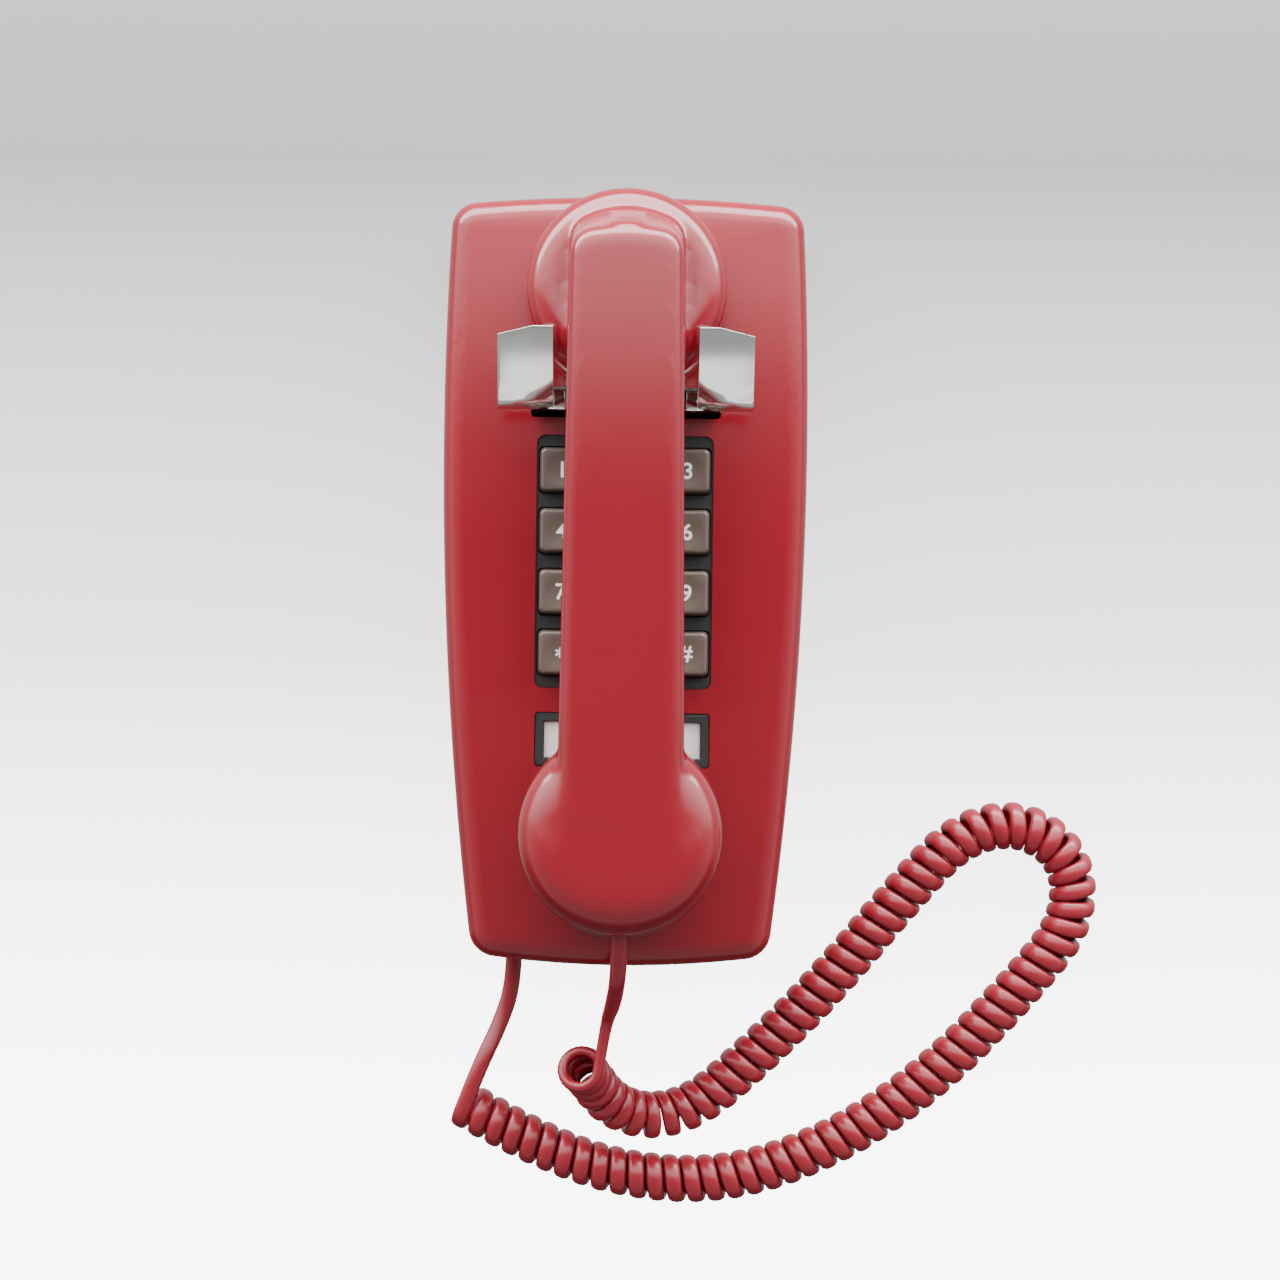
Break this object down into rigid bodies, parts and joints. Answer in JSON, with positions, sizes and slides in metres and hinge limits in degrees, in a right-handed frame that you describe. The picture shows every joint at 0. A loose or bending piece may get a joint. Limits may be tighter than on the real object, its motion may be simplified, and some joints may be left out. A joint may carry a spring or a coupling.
{
  "type": "push-button wall telephone",
  "caption": "Wall telephone with a keypad behind its hung handset, a sprung hook, a ringer with gongs and a curly cord.",
  "frame": {"origin": "middle of the housing on the back plane that meets the wall", "axes": "+Z out of the wall towards the user, +Y up the telephone, +X to the user's right"},
  "size_m": [0.1999, 0.3041, 0.105],
  "materials": {
    "red_plastic": "moulded red, soft gloss",
    "black_plastic": "moulded near black, fine satin",
    "key_plastic": "moulded warm grey, satin",
    "cream_plastic": "moulded cream",
    "clear_plastic": "clear moulded plastic",
    "chrome": "bright plated",
    "plate_steel": "zinc plated sheet",
    "screw_steel": "zinc plated",
    "brass": "satin",
    "card": "smooth white card",
    "key_rubber": "moulded rubber sheet",
    "board": "phenolic laminate",
    "capacitor_can": "drawn can",
    "coil_wrap": "varnished tape",
    "wire": "insulated strands",
    "cord_jacket": "red flexible jacket, soft gloss"
  },
  "bodies": {
    "root": {"base_plate": "plate_steel", "housing": "red_plastic", "cover_screws": "screw_steel", "hook_bracket": "plate_steel", "hook_pivot_pin": "screw_steel", "hook_springs": "screw_steel", "switch_block": "cream_plastic", "keypad_faceplate": "black_plastic", "keypad_tray": "black_plastic", "key_mat": "key_rubber", "keypad_board": "board", "card_frame": "black_plastic", "number_card": "card", "card_window": "clear_plastic", "network_board": "board", "board_screws": "screw_steel", "transformer": "black_plastic", "capacitor": "capacitor_can", "terminal_screws": "brass", "ringer_frame": "plate_steel", "gong_left": "brass", "gong_right": "brass", "gong_screws": "screw_steel", "ringer_coil": "coil_wrap", "wall_plug": "clear_plastic", "wall_plug_carrier": "cream_plastic", "line_wires": "wire", "base_jack": "black_plastic", "base_cord_plug": "clear_plastic", "cord_coil": "cord_jacket", "cord_base_lead": "cord_jacket", "cord_handset_lead": "cord_jacket"},
    "hook": {"hook_cradle": "chrome"},
    "plunger": {"switch_plunger": "cream_plastic"},
    "handset": {"handset_shell": "red_plastic", "receiver_cap": "red_plastic", "transmitter_cap": "red_plastic", "receiver_unit": "capacitor_can", "transmitter_unit": "black_plastic", "transmitter_contacts": "cream_plastic", "handset_jack": "black_plastic", "handset_cord_plug": "clear_plastic", "handset_wires": "wire"},
    "clapper": {"clapper": "screw_steel"},
    "volume_wheel": {"volume_wheel": "black_plastic"},
    "key_1": {"key_1": "key_plastic"},
    "key_2": {"key_2": "key_plastic"},
    "key_3": {"key_3": "key_plastic"},
    "key_4": {"key_4": "key_plastic"},
    "key_5": {"key_5": "key_plastic"},
    "key_6": {"key_6": "key_plastic"},
    "key_7": {"key_7": "key_plastic"},
    "key_8": {"key_8": "key_plastic"},
    "key_9": {"key_9": "key_plastic"},
    "key_star": {"key_star": "key_plastic"},
    "key_0": {"key_0": "key_plastic"},
    "key_hash": {"key_hash": "key_plastic"}
  },
  "joints": [
    {"name": "handset_lift", "type": "slide", "parent": "root", "child": "handset", "axis": [0, 0.9272, 0.3746], "range_m": [0, 0.12], "deforming": ["cord_handset_lead"]},
    {"name": "hook_swing", "type": "hinge", "parent": "root", "child": "hook", "pos_m": [0, 0.052, 0.02], "axis": [-1, 0, 0], "range_deg": [0, 6.5], "deforming": ["hook_springs"]},
    {"name": "plunger_travel", "type": "slide", "parent": "root", "child": "plunger", "axis": [0, 1, 0], "range_m": [0, 0.0019]},
    {"name": "clapper_swing", "type": "hinge", "parent": "root", "child": "clapper", "pos_m": [0, -0.082, 0.0224], "axis": [0, 0, 1], "range_deg": [-6, 6], "stiffness_Nm_per_rad": 0.002},
    {"name": "volume_turn", "type": "hinge", "parent": "root", "child": "volume_wheel", "pos_m": [0.027, -0.1033, 0.008], "axis": [0, 0, 1], "range_deg": [0, 100]},
    {"name": "press_1", "type": "slide", "parent": "root", "child": "key_1", "axis": [0, 0, -1], "range_m": [0, 0.0022], "stiffness_N_per_m": 250, "springref_m": -0.001},
    {"name": "press_2", "type": "slide", "parent": "root", "child": "key_2", "axis": [0, 0, -1], "range_m": [0, 0.0022], "stiffness_N_per_m": 250, "springref_m": -0.001},
    {"name": "press_3", "type": "slide", "parent": "root", "child": "key_3", "axis": [0, 0, -1], "range_m": [0, 0.0022], "stiffness_N_per_m": 250, "springref_m": -0.001},
    {"name": "press_4", "type": "slide", "parent": "root", "child": "key_4", "axis": [0, 0, -1], "range_m": [0, 0.0022], "stiffness_N_per_m": 250, "springref_m": -0.001},
    {"name": "press_5", "type": "slide", "parent": "root", "child": "key_5", "axis": [0, 0, -1], "range_m": [0, 0.0022], "stiffness_N_per_m": 250, "springref_m": -0.001},
    {"name": "press_6", "type": "slide", "parent": "root", "child": "key_6", "axis": [0, 0, -1], "range_m": [0, 0.0022], "stiffness_N_per_m": 250, "springref_m": -0.001},
    {"name": "press_7", "type": "slide", "parent": "root", "child": "key_7", "axis": [0, 0, -1], "range_m": [0, 0.0022], "stiffness_N_per_m": 250, "springref_m": -0.001},
    {"name": "press_8", "type": "slide", "parent": "root", "child": "key_8", "axis": [0, 0, -1], "range_m": [0, 0.0022], "stiffness_N_per_m": 250, "springref_m": -0.001},
    {"name": "press_9", "type": "slide", "parent": "root", "child": "key_9", "axis": [0, 0, -1], "range_m": [0, 0.0022], "stiffness_N_per_m": 250, "springref_m": -0.001},
    {"name": "press_star", "type": "slide", "parent": "root", "child": "key_star", "axis": [0, 0, -1], "range_m": [0, 0.0022], "stiffness_N_per_m": 250, "springref_m": -0.001},
    {"name": "press_0", "type": "slide", "parent": "root", "child": "key_0", "axis": [0, 0, -1], "range_m": [0, 0.0022], "stiffness_N_per_m": 250, "springref_m": -0.001},
    {"name": "press_hash", "type": "slide", "parent": "root", "child": "key_hash", "axis": [0, 0, -1], "range_m": [0, 0.0022], "stiffness_N_per_m": 250, "springref_m": -0.001}
  ],
  "couplings": [
    {"joint": "hook_swing", "follows": "handset_lift", "rad_per_m": 0.9416},
    {"joint": "plunger_travel", "follows": "handset_lift", "ratio": 0.01513}
  ]
}
